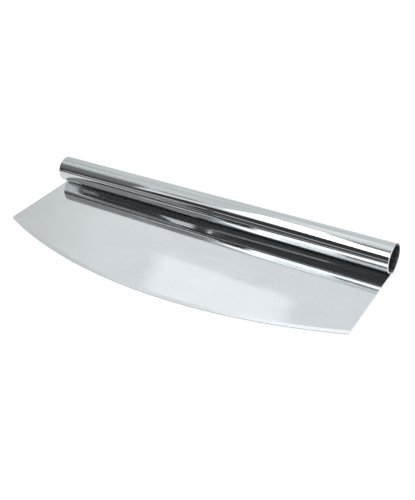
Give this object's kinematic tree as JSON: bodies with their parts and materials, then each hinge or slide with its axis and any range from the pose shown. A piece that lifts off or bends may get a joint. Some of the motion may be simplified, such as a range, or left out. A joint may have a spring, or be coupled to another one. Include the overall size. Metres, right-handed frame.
{
  "type": "rocking pizza knife",
  "caption": "Rocking pizza knife: a flat steel blade with a long curved edge, rolled over along its top into an open tube handle.",
  "frame": {"origin": "middle of the footprint on the surface that the knife lies on, back down", "axes": "+X along the handle, +Y from the cutting edge towards the handle, +Z out of the blade's front face, which is the side that the handle is rolled to"},
  "size_m": [0.356, 0.128, 0.0265],
  "materials": {
    "blade_steel": "bright rolled stainless sheet, ground along the edge",
    "handle_steel": "mirror polished stainless steel, polished along its length",
    "weld_steel": "dull dressed weld"
  },
  "bodies": {
    "root": {"blade": "blade_steel", "rolled_handle": "handle_steel", "seam_tacks": "weld_steel"}
  },
  "joints": []
}
